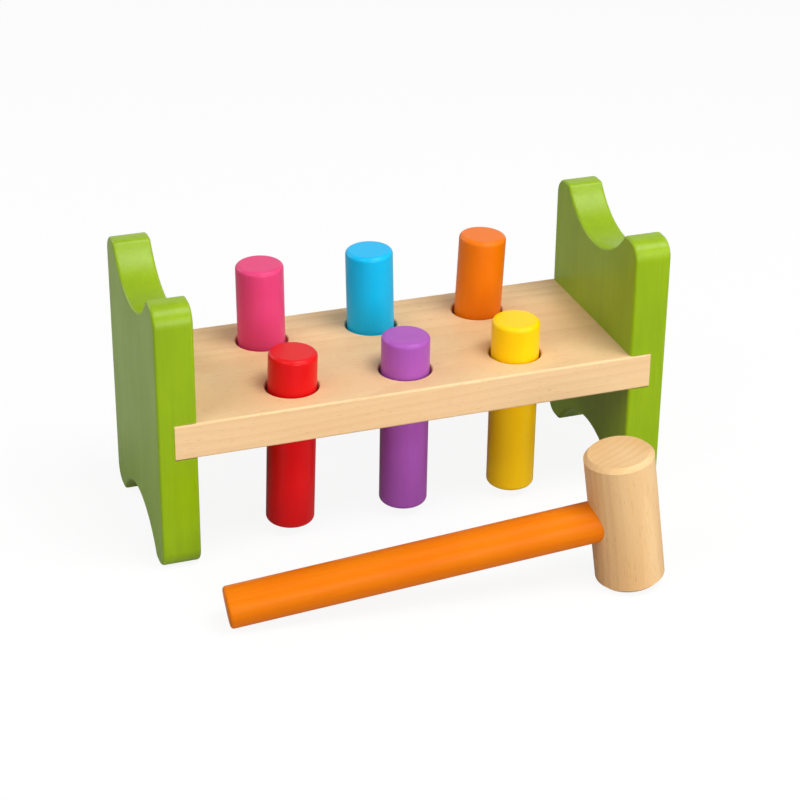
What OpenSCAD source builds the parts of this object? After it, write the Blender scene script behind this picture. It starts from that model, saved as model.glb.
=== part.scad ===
// Peg pounding bench: two scalloped end panels, a housed peg board, six painted
// pegs gripped by rubber rings in the board, and a mallet lying in front.
// Millimetres, +Z up. The origin is the middle of the set's footprint on the table.

/* [Bench] */
// Length over the outer faces of the end panels
bench_len = 226; // [200:1:250]
// Height of the end panels
bench_h = 120; // [108:1:140]
// Depth of the end panels, front to back
bench_d = 86; // [84:1:104]

/* [End panels] */
// Thickness of an end panel
panel_t = 16.5; // [13:0.5:20]
// Radius of the panel's four outer corners
corner_r = 8; // [5:0.5:9]
// Radius of the valley's trough
valley_r = 36.5; // [30:0.5:38]
// Radius of the shoulder where a hump falls into the valley
shoulder_r = 3; // [2:0.5:5]
// Radius of the eased edges round both faces
panel_ease = 1.25; // [1:0.25:1.75]
// Depth of the housing that the peg board is glued into
housing_depth = 9.5; // [6:0.5:11]

/* [Peg board] */
// Thickness of the peg board
board_t = 16; // [14:0.5:20]
// How far the board's long edges stand proud of the end panels
board_proud = 0.3; // [0.1:0.1:1]
// Radius of the board's eased long edges
board_ease = 1; // [0.5:0.25:2]
// Glue gap between the board and its housing
housing_gap = 0.1; // [0.05:0.05:0.3]
// Diameter of the peg holes
hole_d = 23; // [22:0.25:25]
// Width of the bevel at both mouths of a hole
hole_bevel = 0.5; // [0.25:0.25:1]
// Distance from an end panel to the middle of the nearest holes
column_margin = 46; // [42:0.5:50]
// Distance from the front or back of the end panels to the middle of the nearest row of holes
row_margin = 20; // [18.5:0.5:24]

/* [Grip rings] */
// Thickness of the rubber ring's round section
ring_section = 3.2; // [2.5:0.1:4]
// Running clearance between a ring and its peg
ring_clear = 0.1; // [0.05:0.01:0.15]
// Play between a ring and its groove
groove_clear = 0.1; // [0.05:0.05:0.3]

/* [Pegs] */
// Diameter of a peg
peg_d = 21; // [19:0.25:21.5]
// Length of a peg
peg_len = 80; // [76:1:84]
// Radius of a peg's rounded ends
peg_round = 2; // [1:0.25:4]
// Height of the three driven front pegs above the board
front_rise = 16; // [15:1:40]
// Height of the three waiting back pegs above the board
back_rise = 36.5; // [17:0.5:50]
// Lean of the pink peg to the right, as a share of the most that its hole allows
pink_lean_share = -0.08; // [-0.6:0.01:0.6]
// Lean of the blue peg to the right, as a share of the most that its hole allows
blue_lean_share = -0.19; // [-0.6:0.01:0.6]
// Lean of the orange peg to the right, as a share of the most that its hole allows
orange_lean_share = 0.36; // [-0.6:0.01:0.6]
// Lean of the red peg to the right, as a share of the most that its hole allows
red_lean_share = 0.23; // [-0.6:0.01:0.6]
// Lean of the purple peg to the right, as a share of the most that its hole allows
purple_lean_share = 0.06; // [-0.6:0.01:0.6]
// Lean of the yellow peg to the right, as a share of the most that its hole allows
yellow_lean_share = 0.05; // [-0.6:0.01:0.6]

/* [Mallet] */
// Diameter of the mallet's head
head_d = 29; // [26:0.5:36]
// Length of the mallet's head
head_len = 60; // [50:1:76]
// Width of the bevel round both striking faces
head_bevel = 1.8; // [1:0.1:3]
// Diameter of the handle
handle_d = 17.5; // [14:0.5:22]
// Length of the handle
handle_len = 172.5; // [140:0.5:200]
// Radius of the handle's rounded ends
handle_round = 1.5; // [0.5:0.25:3]
// Depth of the blind bore in the head that takes the handle
bore_depth = 20; // [14:0.5:23]
// Glue gap round the handle in its bore
glue_gap = 0.05; // [0.02:0.01:0.1]

/* [Where the mallet lies] */
// Distance of the head's middle to the right of the bench's middle
mallet_right = 66; // [20:0.5:90]
// Distance of the head's middle in front of the end panels
mallet_front = 65; // [50:0.5:120]
// Angle by which the handle's far end swings towards the bench
mallet_yaw = 6.4; // [0:0.1:10]

/* [Hidden] */
$fn = 96;

// Overrun of every cut past the face that it opens
over = 1;

// Places of the parts along the bench
panel_x = (bench_len - panel_t) / 2;
board_len = bench_len - 2 * (panel_t - housing_depth);
board_d = bench_d + 2 * board_proud;
board_z = bench_h / 2;
board_top = board_z + board_t / 2;

// Hole columns and rows: -1 is left or front, 1 is right or back
column_x = bench_len / 2 - panel_t - column_margin;
row_y = bench_d / 2 - row_margin;
left = -1;
middle = 0;
right = 1;
front = -1;
back = 1;

// Panel outline: trough and shoulder are arcs that touch at the turn. Seen from the
// trough's middle the turn lies along the long side of a 3-4-5 triangle.
turn_y_share = 0.8;
turn_z_share = 0.6;
shoulder_y = (valley_r + shoulder_r) * turn_y_share;
shoulder_z = bench_h / 2 - shoulder_r;
trough_z = shoulder_z + (valley_r + shoulder_r) * turn_z_share;
turn_y = valley_r * turn_y_share;
turn_z = trough_z - valley_r * turn_z_share;
hump_flat = bench_d / 2 - corner_r - shoulder_y;

// Grip ring and its groove
ring_r = peg_d / 2 + ring_clear + ring_section / 2;
groove_r = ring_r + ring_section / 2 + groove_clear;
groove_w = ring_section + 2 * groove_clear;

// Mallet: it leans on the lower rim of its head and the far end of its handle
head_r = head_d / 2;
handle_r = handle_d / 2;
face_r = head_r - head_bevel;
reach = handle_len + head_r - bore_depth;
lean_run = reach - handle_round - face_r;
lean_rise = head_len / 2 - handle_r + handle_round;
lean = atan2(lean_rise, lean_run) - asin(handle_round / norm([lean_run, lean_rise]));
head_lift = face_r * sin(lean) + head_len / 2 * cos(lean);
mallet_y = -bench_d / 2 - mallet_front;

// The set's footprint is centred on the origin
head_slant = sin(lean) * sin(mallet_yaw);
head_reach_y = (head_len / 2 - head_bevel) * head_slant + head_r * sqrt(1 - head_slant * head_slant);
set_y = (head_reach_y - mallet_y - board_d / 2) / 2;

module in_set() translate([0, set_y, 0]) children();

// Lays an outline drawn across the bench, depth by height, along the X axis
module along_bench(length) {
    rotate([90, 0, 90])
        linear_extrude(height = length, center = true)
            children();
}

module rounded_rect(width, height, radius) {
    square([width - 2 * radius, height], center = true);
    square([width, height - 2 * radius], center = true);
    for (y = [-1, 1], z = [-1, 1])
        translate([y * (width / 2 - radius), z * (height / 2 - radius)])
            circle(r = radius);
}

module valley() {
    difference() {
        union() {
            translate([0, trough_z]) circle(r = valley_r);
            polygon([
                [-turn_y, turn_z],
                [turn_y, turn_z],
                [shoulder_y, shoulder_z],
                [shoulder_y, trough_z],
                [-shoulder_y, trough_z],
                [-shoulder_y, shoulder_z]
            ]);
        }
        for (y = [-1, 1])
            translate([y * shoulder_y, shoulder_z]) circle(r = shoulder_r);
    }
}

module panel_outline() {
    difference() {
        rounded_rect(bench_d, bench_h, corner_r);
        valley();
        mirror([0, 1]) valley();
    }
}

// Section of the waste outside an eased edge; the edge is at the origin
module ease_section() {
    difference() {
        translate([-panel_ease, -panel_ease]) square(panel_ease + over);
        translate([-panel_ease, -panel_ease]) circle(r = panel_ease);
    }
}

module ease_straight(length) {
    rotate([90, 0, 0])
        linear_extrude(height = length)
            ease_section();
}

// Waste along an arc about the origin that runs between two directions under half a turn apart
module ease_arc(radius, from, to) {
    far = 2 * (radius + over);
    intersection() {
        rotate_extrude() translate([radius, 0]) children();
        translate([0, 0, -panel_ease - over])
            linear_extrude(height = panel_ease + 3 * over)
                polygon([[0, 0], from * far, (from + to) * far, to * far]);
    }
}

// Waste along one quarter of the outline, from the side to the turn
module ease_quarter() {
    translate([bench_d / 2, bench_h / 2 - corner_r, 0])
        ease_straight(bench_h / 2 - corner_r);
    translate([bench_d / 2 - corner_r, bench_h / 2 - corner_r, 0])
        ease_arc(corner_r, [1, 0], [0, 1]) ease_section();
    translate([shoulder_y, bench_h / 2, 0])
        rotate([0, 0, 90]) ease_straight(hump_flat);
    translate([shoulder_y, shoulder_z, 0])
        ease_arc(shoulder_r, [0, 1], [-turn_y_share, turn_z_share]) ease_section();
}

module ease_outline() {
    for (y = [0, 1], z = [0, 1])
        mirror([y, 0, 0]) mirror([0, z, 0]) ease_quarter();
    for (z = [0, 1])
        mirror([0, z, 0])
            translate([0, trough_z, 0])
                ease_arc(valley_r, [-turn_y_share, -turn_z_share], [turn_y_share, -turn_z_share])
                    mirror([1, 0]) ease_section();
}

// End panel with its housing on the side that faces +X
module end_panel() {
    color("yellowgreen")
        difference() {
            rotate([90, 0, 90])
                difference() {
                    linear_extrude(height = panel_t, center = true) panel_outline();
                    for (face = [0, 1])
                        mirror([0, 0, face]) translate([0, 0, panel_t / 2]) ease_outline();
                }
            translate([panel_t / 2 - housing_depth, -bench_d / 2 - over, -board_t / 2 - housing_gap])
                cube([housing_depth + over, bench_d + 2 * over, board_t + 2 * housing_gap]);
        }
}

module left_end_panel() in_set() translate([-panel_x, 0, board_z]) end_panel();

module right_end_panel() in_set() translate([panel_x, 0, board_z]) mirror([1, 0, 0]) end_panel();

module at_hole(column, row) {
    in_set()
        translate([column * column_x, row * row_y, board_z])
            children();
}

module hole() {
    cylinder(d = hole_d, h = board_t + 2 * over, center = true);
    cylinder(r = groove_r, h = groove_w, center = true);
    for (side = [0, 1])
        mirror([0, 0, side])
            translate([0, 0, board_t / 2 - hole_bevel])
                cylinder(d1 = hole_d, d2 = hole_d + 2 * (hole_bevel + over), h = hole_bevel + over);
}

module peg_board() {
    color("burlywood")
        difference() {
            in_set()
                translate([0, 0, board_z])
                    along_bench(board_len)
                        rounded_rect(board_d, board_t, board_ease);
            for (column = [left, middle, right], row = [front, back])
                at_hole(column, row) hole();
        }
}

module grip_ring(column, row) {
    color("dimgray")
        at_hole(column, row)
            rotate_extrude()
                translate([ring_r, 0]) circle(d = ring_section, $fn = 32);
}

// Half section of a round bar with rounded ends, from its middle line outwards
module bar_section(radius, length, rounding) {
    square([radius - rounding, length]);
    translate([0, rounding]) square([radius, length - 2 * rounding]);
    for (end = [rounding, length - rounding])
        translate([radius - rounding, end])
            intersection() {
                circle(r = rounding);
                translate([0, -rounding]) square([rounding, 2 * rounding]);
            }
}

module bar(radius, length, rounding) {
    rotate_extrude() bar_section(radius, length, rounding);
}

module peg(paint, column, row, lean_share) {
    rise = row == front ? front_rise : back_rise;
    lean_in_hole = atan(lean_share * (hole_d - peg_d) / board_t);
    color(paint)
        at_hole(column, row)
            rotate([0, lean_in_hole, 0])
                translate([0, 0, board_t / 2 + rise - peg_len])
                    bar(peg_d / 2, peg_len, peg_round);
}

// Places the mallet, drawn with its head upright and its handle along +X
module laid_down() {
    in_set()
        translate([mallet_right, mallet_y, head_lift])
            rotate([0, lean, 180 - mallet_yaw])
                children();
}

module mallet_head() {
    color("navajowhite")
        laid_down()
            difference() {
                union() {
                    cylinder(r = head_r, h = head_len - 2 * head_bevel, center = true);
                    for (end = [0, 1])
                        mirror([0, 0, end])
                            translate([0, 0, head_len / 2 - head_bevel])
                                cylinder(r1 = head_r, r2 = face_r, h = head_bevel);
                }
                translate([head_r - bore_depth, 0, 0])
                    rotate([0, 90, 0])
                        cylinder(r = handle_r + glue_gap, h = bore_depth + over);
            }
}

module mallet_handle() {
    color("darkorange")
        laid_down()
            translate([head_r - bore_depth, 0, 0])
                rotate([0, 90, 0])
                    bar(handle_r, handle_len, handle_round);
}

left_end_panel();
right_end_panel();
peg_board();
grip_ring(left, back);  // ring_back_left
grip_ring(middle, back);  // ring_back_middle
grip_ring(right, back);  // ring_back_right
grip_ring(left, front);  // ring_front_left
grip_ring(middle, front);  // ring_front_middle
grip_ring(right, front);  // ring_front_right
peg("hotpink", left, back, pink_lean_share);  // pink_peg
peg("deepskyblue", middle, back, blue_lean_share);  // blue_peg
peg("darkorange", right, back, orange_lean_share);  // orange_peg
peg("red", left, front, red_lean_share);  // red_peg
peg("mediumorchid", middle, front, purple_lean_share);  // purple_peg
peg("gold", right, front, yellow_lean_share);  // yellow_peg
mallet_head();
mallet_handle();
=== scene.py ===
import math

import bpy
from mathutils import Matrix, Vector

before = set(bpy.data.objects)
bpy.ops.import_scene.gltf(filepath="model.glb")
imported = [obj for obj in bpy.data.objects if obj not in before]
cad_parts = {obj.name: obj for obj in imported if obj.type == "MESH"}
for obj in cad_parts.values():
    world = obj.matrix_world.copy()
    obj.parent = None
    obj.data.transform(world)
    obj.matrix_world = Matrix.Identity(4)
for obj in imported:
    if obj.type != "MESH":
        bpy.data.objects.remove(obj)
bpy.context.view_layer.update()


# ---- Camera ----
# A long lens held above the bench and left of its middle, so that the outside of the left panel, the top of the
# board and the mallet in front are all in view. The lens is shifted down a little on the camera's back, as for
# a product picture, which lets the camera look less steeply and keeps the uprights nearer to parallel.
aim = Vector((0.005616, 0.039815, 0.079644))
camera_distance = 0.9352
yaw, pitch, roll = (math.radians(angle) for angle in (-19.437, 25.670, 0.562))
to_camera = Vector((math.sin(yaw) * math.cos(pitch), -math.cos(yaw) * math.cos(pitch), math.sin(pitch)))
level_right = Vector((math.cos(yaw), math.sin(yaw), 0.0))
level_up = to_camera.cross(level_right)
film_right = level_right * math.cos(roll) + level_up * math.sin(roll)
film_up = level_up * math.cos(roll) - level_right * math.sin(roll)

lens = bpy.data.cameras.new("studio_camera")
lens.sensor_width = 36.0
lens.lens = 96.73
lens.shift_y = -0.10
lens.clip_start = 0.05
camera = bpy.data.objects.new("studio_camera", lens)
camera_turn = Matrix((film_right, film_up, to_camera)).transposed().to_4x4()
camera.matrix_world = Matrix.Translation(aim + to_camera * camera_distance) @ camera_turn
bpy.context.scene.collection.objects.link(camera)
bpy.context.scene.camera = camera


# ---- End panels ----
# Two panels sawn from hardwood board, housed to take the peg board, rounded over all round and sprayed with
# satin lime-green paint. The paint lets a little of the upright grain show and thins out on the rounded edges,
# which are painted lighter, also as a painted highlight along them.
def colour(red, green, blue):
    """A colour mixed as 0 to 255 on a screen, as the linear light that a shader takes."""
    parts = [part / 255 for part in (red, green, blue)]
    return tuple(p / 12.92 if p <= 0.04045 else ((p + 0.055) / 1.055) ** 2.4 for p in parts) + (1.0,)


def put(tree, kind, feeds=None, **settings):
    """One node; feeds names its inputs, each with the socket or the value that it gets."""
    made = tree.nodes.new("ShaderNode" + kind)
    for name, value in settings.items():
        setattr(made, name, value)
    for name, feed in (feeds or {}).items():
        if isinstance(feed, bpy.types.NodeSocket):
            tree.links.new(feed, made.inputs[name])
        else:
            made.inputs[name].default_value = feed
    return made


def calc(tree, operation, first, second=0.0):
    """A sum on one or two single numbers."""
    return put(tree, "Math", {0: first, 1: second}, operation=operation).outputs[0]


def add_up(tree, base, *masks):
    """A base, and on top of it several masks, each with its own share."""
    for mask, share in masks:
        base = calc(tree, "ADD", base, calc(tree, "MULTIPLY", mask, share))
    return base


def ease_in(tree, value, low, high, floor=0.0, top=1.0):
    """Goes smoothly from floor to top while value goes from low to high."""
    return put(tree, "MapRange", {"Value": value, "From Min": low, "From Max": high, "To Min": floor, "To Max": top},
               interpolation_type="SMOOTHSTEP").outputs["Result"]


def lay_over(tree, under, over, mask, share=1.0):
    """One colour laid over another where the mask is, by that share of it."""
    factor, first_colour, second_colour, mixed = 0, 6, 7, 2    # sockets of the Mix node when it mixes colours
    weight = calc(tree, "MULTIPLY", mask, share)
    mixer = put(tree, "Mix", {factor: weight, first_colour: under, second_colour: over}, data_type="RGBA")
    return mixer.outputs[mixed]


def noise(tree, place, scale, detail, roughness=0.5):
    """Soft noise, from 0 to 1, with that many spots to the metre."""
    return put(tree, "TexNoise", {"Vector": place, "Scale": scale, "Detail": detail,
                                  "Roughness": roughness}).outputs["Fac"]


def stretched(tree, place, along):
    """The place with its third axis, the run of the grain, squeezed, so that spots become streaks."""
    return put(tree, "VectorMath", {0: place, 1: (1.0, 1.0, along)}, operation="MULTIPLY").outputs[0]


def start_group(name, inputs, outputs):
    """An empty shader group with its named sockets."""
    group = bpy.data.node_groups.new(name, "ShaderNodeTree")
    for title, kind in inputs.items():
        group.interface.new_socket(title, in_out="INPUT", socket_type=kind)
    for title in outputs:
        group.interface.new_socket(title, in_out="OUTPUT", socket_type="NodeSocketFloat")
    return group, group.nodes.new("NodeGroupInput").outputs, group.nodes.new("NodeGroupOutput").inputs


def hand_out(group, result, masks):
    """Leads the finished masks to the group's outputs."""
    for title, mask in masks.items():
        group.links.new(mask, result[title])


def build_edges():
    """Where a piece has an outside edge or an arris: 0 on its faces, rising to 1 on the edge."""
    group, given, result = start_group("edges", {"Reach": "NodeSocketFloat"}, ["Edge"])
    softened = put(group, "Bevel", {"Radius": given["Reach"]}, samples=6).outputs[0]
    flat = put(group, "NewGeometry").outputs["Normal"]
    agreement = put(group, "VectorMath", {0: softened, 1: flat}, operation="DOT_PRODUCT").outputs["Value"]
    still_face, full_edge = 0.995, 0.86
    hand_out(group, result, {"Edge": ease_in(group, agreement, still_face, full_edge)})
    return group


def build_paint_coat():
    """A sprayed satin coat on wood: cloudy film, faint grain under it, fine orange peel and small nibs."""
    group, given, result = start_group(
        "paint_coat",
        {"Place": "NodeSocketVector", "Grain": "NodeSocketFloat"},
        ["Cloud", "Fibres", "Roughness", "Height"])
    place = given["Place"]
    film = noise(group, place, scale=38.0, detail=4.0, roughness=0.55)
    fibres = noise(group, stretched(group, place, along=0.05), scale=950.0, detail=4.0, roughness=0.6)
    bands = noise(group, stretched(group, place, along=0.035), scale=210.0, detail=2.0)
    streaks = ease_in(group, add_up(group, 0.0, (fibres, 0.55), (bands, 0.45)), low=0.36, high=0.64)
    streaks = calc(group, "MULTIPLY", streaks, given["Grain"])
    peel = noise(group, place, scale=620.0, detail=2.0)
    nibs = ease_in(group, noise(group, place, scale=1500.0, detail=1.0, roughness=0.4), low=0.74, high=0.82)
    satin = 0.24
    hand_out(group, result, {
        "Cloud": ease_in(group, film, low=0.28, high=0.72),
        "Fibres": streaks,
        "Roughness": add_up(group, satin, (film, 0.10), (peel, 0.07)),
        "Height": add_up(group, 0.0, (peel, 0.55), (streaks, 0.60), (nibs, 0.10))})
    return group


edges = build_edges()
paint_coat = build_paint_coat()


def start_finish(name):
    """A new material, its nodes, its shader, and the place on the piece in metres."""
    finish = bpy.data.materials.new(name)
    finish.use_nodes = True
    tree = finish.node_tree
    return finish, tree, tree.nodes["Principled BSDF"], put(tree, "TexCoord").outputs["Object"]


def along_grain(tree, spot, grain_turn, cut_from):
    """The place turned so that the grain runs on the third axis, at the stretch of wood that the piece is cut from."""
    return put(tree, "Mapping", {"Vector": spot, "Rotation": grain_turn, "Location": cut_from}).outputs[0]


def edge_mask(tree, reach):
    """The edges of the piece, up to that reach in metres."""
    return put(tree, "Group", {"Reach": reach}, node_tree=edges).outputs["Edge"]


def give_relief(tree, shader, height, strength, depth):
    """Fine relief from a height mask; depth is in metres."""
    relief = put(tree, "Bump", {"Height": height, "Strength": strength, "Distance": depth})
    tree.links.new(relief.outputs[0], shader.inputs["Normal"])


def paint_finish(name, coat, deep, thin_and_highlit, grain_turn, cut_from, grain, edge_wear_and_highlight, gloss):
    """Satin paint: its own colour, deeper where it lies thick, and lighter on the edges: thin paint and a painted
    highlight.
    """
    finish, tree, shader, spot = start_finish(name)
    place = along_grain(tree, spot, grain_turn, cut_from)
    film = put(tree, "Group", {"Place": place, "Grain": grain}, node_tree=paint_coat).outputs
    body = lay_over(tree, coat, deep, film["Cloud"], share=0.30)
    body = lay_over(tree, body, deep, film["Fibres"], share=0.40)
    patches = ease_in(tree, film["Cloud"], low=0.1, high=0.9, floor=0.35)
    # The edges are painted lighter: partly thinner paint on the arrises, partly a painted highlight along them.
    worn_and_highlit = calc(tree, "MULTIPLY", edge_mask(tree, reach=0.0016), patches)
    body = lay_over(tree, body, thin_and_highlit, worn_and_highlit, share=edge_wear_and_highlight)
    tree.links.new(body, shader.inputs["Base Color"])
    tree.links.new(film["Roughness"], shader.inputs["Roughness"])
    give_relief(tree, shader, film["Height"], strength=0.10, depth=0.0003)
    shader.inputs["Specular IOR Level"].default_value = gloss
    return finish


def finish_node(node, finish):
    """Gives a CAD node its finish."""
    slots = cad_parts[node].material_slots
    if not slots:
        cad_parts[node].data.materials.append(finish)
    for slot in slots:
        slot.material = finish


upright = (0.0, 0.0, 0.0)
next_panel = 0.3    # metres along the board that both panels are sawn from
for side, panel in enumerate(("left_end_panel", "right_end_panel")):
    green = paint_finish("green_paint_" + panel, coat=colour(144, 175, 5), deep=colour(118, 149, 3),
                         thin_and_highlit=colour(164, 191, 27), grain_turn=upright, cut_from=(next_panel * side, 0.0, 0.0),
                         grain=0.80, edge_wear_and_highlight=0.55, gloss=0.26)
    finish_node(panel, green)


# ---- Peg board ----
# One board of pale, close-grained hardwood with its grain along the bench. It is planed, bored, eased by hand
# along its long edges and clear sealed, and its ends are glued into the housings of the panels.
def build_wood_grain():
    """Solid wood round a pith on the third axis: growth rings, fibres, pores and slow changes of tone."""
    group, given, result = start_group(
        "wood_grain",
        {"Place": "NodeSocketVector", "Ring width": "NodeSocketFloat", "Waver": "NodeSocketFloat"},
        ["Rings", "Fibres", "Pores", "Tone", "Height"])
    place = given["Place"]

    wide, high, _ = put(group, "SeparateXYZ", {0: place}).outputs
    from_pith = calc(group, "SQRT", add_up(group, 0.0, (wide, wide), (high, high)))
    swing = calc(group, "MULTIPLY", given["Waver"], 8.0)
    drift = noise(group, stretched(group, place, along=0.22), scale=16.0, detail=2.0, roughness=0.45)
    wavering = add_up(group, from_pith, (calc(group, "SUBTRACT", drift, 0.5), swing))
    count = calc(group, "DIVIDE", wavering, given["Ring width"])
    through = calc(group, "FRACT", count)
    early_to_late = ease_in(group, through, low=0.25, high=0.90)
    winter_stop = ease_in(group, through, low=1.0, high=0.93)
    year = put(group, "TexWhiteNoise", {"W": calc(group, "FLOOR", count)}, noise_dimensions="1D").outputs["Value"]
    strong_years = ease_in(group, year, low=0.0, high=1.0, floor=0.35)
    rings = calc(group, "MULTIPLY", calc(group, "MULTIPLY", early_to_late, winter_stop), strong_years)

    fibres = noise(group, stretched(group, place, along=0.035), scale=1500.0, detail=4.0, roughness=0.62)
    fibres = ease_in(group, fibres, low=0.32, high=0.68)
    pores = noise(group, stretched(group, place, along=0.085), scale=2600.0, detail=1.0, roughness=0.4)
    pores = ease_in(group, pores, low=0.66, high=0.74)
    tone = noise(group, stretched(group, place, along=0.12), scale=34.0, detail=3.0)
    hand_out(group, result, {
        "Rings": rings,
        "Fibres": fibres,
        "Pores": pores,
        "Tone": ease_in(group, tone, low=0.3, high=0.7),
        "Height": add_up(group, 0.0, (fibres, 0.45), (pores, -0.80), (rings, -0.20))})
    return group


wood_grain = build_wood_grain()


def wood_finish(name, pale, warm, late_wood, pore, grain_turn, cut_from, ring_width, waver, ring_share):
    """Bare sealed wood: pale early wood, a warmer tone in drifts, late-wood lines, fibres and small pores."""
    finish, tree, shader, spot = start_finish(name)
    place = along_grain(tree, spot, grain_turn, cut_from)
    wood = put(tree, "Group", {"Place": place, "Ring width": ring_width, "Waver": waver},
               node_tree=wood_grain).outputs
    body = lay_over(tree, pale, warm, wood["Tone"])
    body = lay_over(tree, body, late_wood, wood["Rings"], share=ring_share)
    body = lay_over(tree, body, warm, wood["Fibres"], share=0.28)
    body = lay_over(tree, body, pore, wood["Pores"], share=0.45)
    # Paler along the edges and arrises: a painted highlight.
    body = lay_over(tree, body, pale, edge_mask(tree, reach=0.0012), share=0.30)
    tree.links.new(body, shader.inputs["Base Color"])
    sealed = 0.40
    roughness = add_up(tree, sealed, (wood["Fibres"], 0.10), (wood["Pores"], 0.15))
    tree.links.new(roughness, shader.inputs["Roughness"])
    give_relief(tree, shader, wood["Height"], strength=0.16, depth=0.0003)
    shader.inputs["Specular IOR Level"].default_value = 0.25
    return finish


along_bench = (0.0, math.radians(90), 0.0)
board_wood = wood_finish("bare_wood", pale=colour(234, 200, 152), warm=colour(227, 186, 137),
                         late_wood=colour(206, 158, 110), pore=colour(188, 137, 92), grain_turn=along_bench,
                         cut_from=(0.22, 0.06, 0.4), ring_width=0.0042, waver=0.0030, ring_share=0.30)
finish_node("peg_board", board_wood)


# ---- Grip rings ----
# A black rubber ring lies in a groove half-way down each hole and grips the peg. It is moulded, with a dull
# bloom on its skin.
def rubber_finish(name, black, grey):
    """Moulded rubber: black, greyer and duller where it blooms, with a finely pitted skin."""
    finish, tree, shader, spot = start_finish(name)
    bloom = noise(tree, spot, scale=420.0, detail=4.0, roughness=0.6)
    tree.links.new(lay_over(tree, black, grey, bloom), shader.inputs["Base Color"])
    tree.links.new(ease_in(tree, bloom, low=0.2, high=0.8, floor=0.55, top=0.85), shader.inputs["Roughness"])
    give_relief(tree, shader, noise(tree, spot, scale=2200.0, detail=2.0), strength=0.20, depth=0.0002)
    return finish


rubber = rubber_finish("ring_rubber", black=colour(24, 24, 25), grey=colour(52, 50, 49))
for row in ("back", "front"):
    for column in ("left", "middle", "right"):
        finish_node(f"ring_{row}_{column}", rubber)


# ---- Pegs ----
# Six lengths of hardwood dowel with rounded ends, each dipped in its own satin colour. Three wait in the back
# row and three are driven down in the front row.
peg_paints = {    # the coat's own colour, where it lies deep, where it is thin on the edges and painted as a highlight
    "pink_peg": (colour(220, 66, 121), colour(215, 46, 99), colour(225, 95, 147)),
    "blue_peg": (colour(8, 182, 234), colour(3, 164, 221), colour(41, 205, 246)),
    "orange_peg": (colour(234, 120, 3), colour(226, 102, 1), colour(237, 143, 22)),
    "red_peg": (colour(220, 13, 18), colour(202, 7, 11), colour(229, 42, 43)),
    "purple_peg": (colour(168, 87, 179), colour(157, 70, 166), colour(185, 119, 203)),
    "yellow_peg": (colour(255, 208, 1), colour(255, 186, 0), colour(255, 232, 20)),
}
next_peg = (0.17, 0.09, 0.23)    # metres to the wood that the next peg is turned from
for turn, (peg, (coat, deep, thin_and_highlit)) in enumerate(peg_paints.items()):
    slot_name = peg.replace("_peg", "_paint")
    dipped = paint_finish(slot_name, coat, deep, thin_and_highlit, grain_turn=upright,
                          cut_from=tuple(step * turn for step in next_peg), grain=0.45, edge_wear_and_highlight=0.50, gloss=0.19)
    finish_node(peg, dipped)


# ---- Mallet head ----
# A straight cylinder turned from a coarser piece of the same pale wood, grain along its length, with both
# faces bevelled and a blind bore for the handle. It is sanded and clear sealed.
mallet_lean = math.radians(7.9121)
mallet_yaw = math.radians(6.4)
head_turn = Matrix.Rotation(math.pi - mallet_yaw, 3, "Z") @ Matrix.Rotation(mallet_lean, 3, "Y")
along_head = tuple(head_turn.inverted().to_euler())
head_wood = wood_finish("head_wood", pale=colour(231, 196, 144), warm=colour(218, 171, 115),
                        late_wood=colour(196, 143, 88), pore=colour(181, 129, 79), grain_turn=along_head,
                        cut_from=(0.035, 0.02, 0.6), ring_width=0.0030, waver=0.0030, ring_share=0.26)
finish_node("mallet_head", head_wood)


# ---- Mallet handle ----
# A dowel stained and lacquered orange, so that its long grain shows through, with an eased end. It is glued
# into the head's bore and rests with its far end on the table.
handle_turn = head_turn @ Matrix.Rotation(math.radians(90), 3, "Y")
along_handle = tuple(handle_turn.inverted().to_euler())
handle_paint = paint_finish("handle_paint", coat=colour(225, 121, 10), deep=colour(217, 97, 3),
                            thin_and_highlit=colour(228, 141, 37), grain_turn=along_handle, cut_from=(0.0, 0.0, 0.0),
                            grain=0.75, edge_wear_and_highlight=0.50, gloss=0.06)
finish_node("mallet_handle", handle_paint)


# ---- Floor and studio ----
# A white floor, five square softboxes round the bench and the even light of a white room. Floor and room are
# white to the camera and in reflections, and throw less light on the bench, so that its underside stays dark.
floor_half = 3.0
floor_corners = [(x * floor_half, y * floor_half, 0.0) for x, y in ((-1, -1), (1, -1), (1, 1), (-1, 1))]
floor_mesh = bpy.data.meshes.new("floor")
floor_mesh.from_pydata(floor_corners, [], [(0, 1, 2, 3)])
floor = bpy.data.objects.new("floor", floor_mesh)
bpy.context.scene.collection.objects.link(floor)


def looked_at(tree):
    """The rays from the camera, and those that come by way of a reflection or through something clear."""
    rays = put(tree, "LightPath").outputs
    return rays["Is Camera Ray"], calc(tree, "MAXIMUM", rays["Is Glossy Ray"], rays["Is Transmission Ray"])


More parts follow.
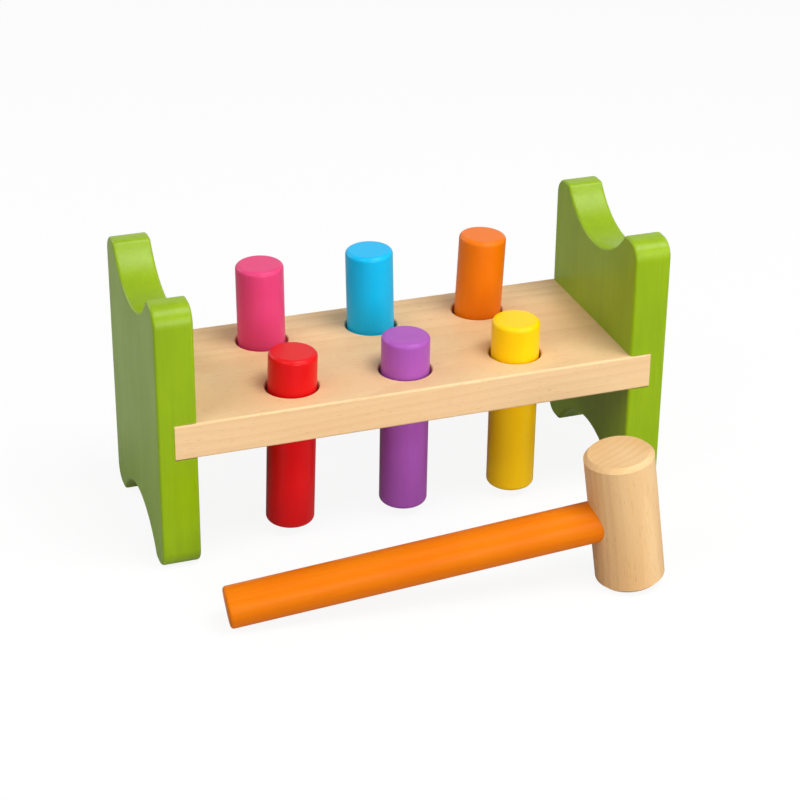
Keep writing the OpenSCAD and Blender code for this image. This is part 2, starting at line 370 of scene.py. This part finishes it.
white = (1.0, 1.0, 1.0, 1.0)
dim_floor = (0.45, 0.45, 0.45, 1.0)
bright_floor = (0.95, 0.95, 0.95, 1.0)
floor_white = bpy.data.materials.new("floor_white")
floor_white.use_nodes = True
tree = floor_white.node_tree
tree.nodes.clear()
from_camera, mirrored = looked_at(tree)
matt = put(tree, "BsdfDiffuse", {"Color": lay_over(tree, dim_floor, bright_floor, from_camera)})
glow = put(tree, "Emission", {"Color": white, "Strength": 1.0})
glow_share = add_up(tree, 0.0, (from_camera, 0.90), (mirrored, 0.12))
surface = put(tree, "MixShader", {0: glow_share, 1: matt.outputs[0], 2: glow.outputs[0]})
put(tree, "OutputMaterial", {"Surface": surface.outputs[0]})
floor_mesh.materials.append(floor_white)

room = bpy.data.worlds.new("white_room")
room.use_nodes = True
bpy.context.scene.world = room
tree = room.node_tree
tree.nodes.clear()
seen = calc(tree, "MAXIMUM", *looked_at(tree))
brightness = ease_in(tree, seen, low=0.0, high=1.0, floor=0.08)
walls = put(tree, "Background", {"Color": white, "Strength": brightness})
put(tree, "OutputWorld", {"Surface": walls.outputs[0]})

bench_middle = Vector((0.006, 0.043, 0.040))
softboxes = {
    "overhead_softbox": {"direction": (0.27, -0.30, 0.91), "distance": 1.6, "side": 0.8, "watts": 16.8},
    "right_softbox": {"direction": (0.62, -0.68, 0.38), "distance": 1.7, "side": 0.9, "watts": 7.2},
    "front_softbox": {"direction": (0.05, -0.97, 0.22), "distance": 1.7, "side": 0.9, "watts": 13.6},
    "left_softbox": {"direction": (-0.60, -0.35, 0.72), "distance": 1.6, "side": 0.8, "watts": 6.6},
    "back_softbox": {"direction": (-0.58, 0.64, 0.50), "distance": 1.6, "side": 0.8, "watts": 6.0},
}
for name, box in softboxes.items():
    lamp = bpy.data.lights.new(name, "AREA")
    lamp.shape = "SQUARE"
    lamp.size = box["side"]
    lamp.energy = box["watts"]
    stand = bpy.data.objects.new(name, lamp)
    away = Vector(box["direction"]).normalized()
    facing_bench = away.to_track_quat("Z", "Y").to_matrix().to_4x4()
    stand.matrix_world = Matrix.Translation(bench_middle + away * box["distance"]) @ facing_bench
    bpy.context.scene.collection.objects.link(stand)

bpy.context.scene.view_settings.view_transform = "Standard"
